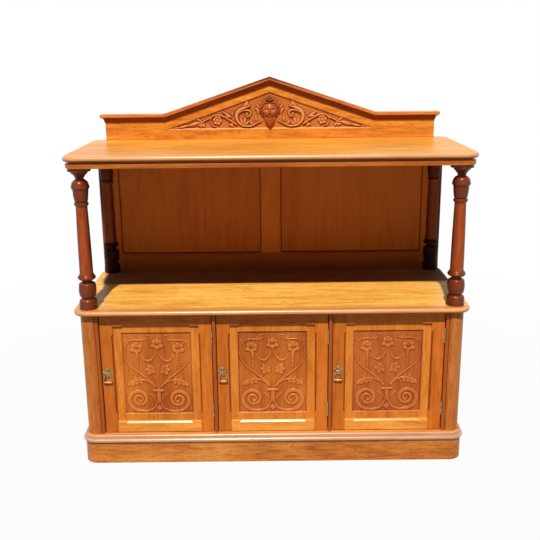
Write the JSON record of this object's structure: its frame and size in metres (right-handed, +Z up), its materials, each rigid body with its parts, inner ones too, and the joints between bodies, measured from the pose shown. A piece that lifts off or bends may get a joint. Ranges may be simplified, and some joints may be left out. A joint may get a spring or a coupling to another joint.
{
  "type": "chiffonier",
  "caption": "Wooden chiffonier: doored cupboard with carved panels on a moulded plinth, an open shelf on turned columns and a carved pediment.",
  "frame": {"origin": "on the floor, under the middle of the piece", "axes": "+X to the right, +Y to the back, +Z up"},
  "size_m": [1.524, 0.61, 1.482],
  "materials": {
    "shelf_wood": "polished honey-coloured timber",
    "case_wood": "polished amber timber",
    "door_wood": "polished amber timber",
    "back_wood": "polished amber timber",
    "turned_wood": "polished red-brown timber",
    "moulding_wood": "polished red-brown timber",
    "inside_wood": "waxed plain timber",
    "brass": "aged brass"
  },
  "bodies": {
    "carcass": {"plinth_front": "case_wood", "plinth_sides": "case_wood", "plinth_back": "inside_wood", "plinth_corners": "case_wood", "base_moulding_front": "case_wood", "base_moulding_right": "case_wood", "base_moulding_left": "case_wood", "cupboard_floor": "case_wood", "corner_post_right": "case_wood", "corner_post_left": "case_wood", "side_panel_right": "case_wood", "side_panel_left": "case_wood", "partition_right": "inside_wood", "partition_left": "inside_wood", "cupboard_back_boards": "inside_wood", "cupboard_shelves": "inside_wood", "shelf_bearers": "inside_wood", "door_stops": "inside_wood", "door_beads": "moulding_wood", "hinge_frame_leaves": "brass", "hinge_pins": "brass", "cupboard_top": "shelf_wood", "column_right": "turned_wood", "column_left": "turned_wood", "half_column_right": "turned_wood", "half_column_left": "turned_wood", "lining_front": "case_wood", "lining_sides": "case_wood", "back_stile_right": "back_wood", "back_stile_left": "back_wood", "back_rail_bottom": "back_wood", "back_rail_top": "back_wood", "back_muntin": "back_wood", "back_panels": "back_wood", "upper_shelf": "shelf_wood", "pediment_board": "case_wood", "tympanum": "case_wood", "cornice_flats": "moulding_wood", "cornice_returns": "moulding_wood", "cornice_rakes": "moulding_wood", "mask": "case_wood"},
    "door_left": {"door_left_stiles": "door_wood", "door_left_rails": "door_wood", "door_left_panel": "door_wood", "door_left_hinge_leaves": "brass", "door_left_handle_plate": "brass"},
    "drop_left": {"door_left_drop": "brass"},
    "door_centre": {"door_centre_stiles": "door_wood", "door_centre_rails": "door_wood", "door_centre_panel": "door_wood", "door_centre_hinge_leaves": "brass", "door_centre_handle_plate": "brass"},
    "drop_centre": {"door_centre_drop": "brass"},
    "door_right": {"door_right_stiles": "door_wood", "door_right_rails": "door_wood", "door_right_panel": "door_wood", "door_right_hinge_leaves": "brass", "door_right_handle_plate": "brass"},
    "drop_right": {"door_right_drop": "brass"}
  },
  "joints": [
    {"name": "door_left_hinge", "type": "hinge", "parent": "carcass", "child": "door_left", "pos_m": [-0.23392, -0.2743, 0.3685], "axis": [0, 0, 1], "range_deg": [0, 105]},
    {"name": "drop_left_pivot", "type": "hinge", "parent": "door_left", "child": "drop_left", "pos_m": [-0.6442, -0.281, 0.3805], "axis": [-1, 0, 0], "range_deg": [-6, 90]},
    {"name": "door_centre_hinge", "type": "hinge", "parent": "carcass", "child": "door_centre", "pos_m": [0.21642, -0.2743, 0.3685], "axis": [0, 0, 1], "range_deg": [0, 105]},
    {"name": "drop_centre_pivot", "type": "hinge", "parent": "door_centre", "child": "drop_centre", "pos_m": [-0.19387, -0.281, 0.3805], "axis": [-1, 0, 0], "range_deg": [-6, 90]},
    {"name": "door_right_hinge", "type": "hinge", "parent": "carcass", "child": "door_right", "pos_m": [0.66675, -0.2743, 0.3685], "axis": [0, 0, 1], "range_deg": [0, 150]},
    {"name": "drop_right_pivot", "type": "hinge", "parent": "door_right", "child": "drop_right", "pos_m": [0.25647, -0.281, 0.3805], "axis": [-1, 0, 0], "range_deg": [-6, 90]}
  ]
}
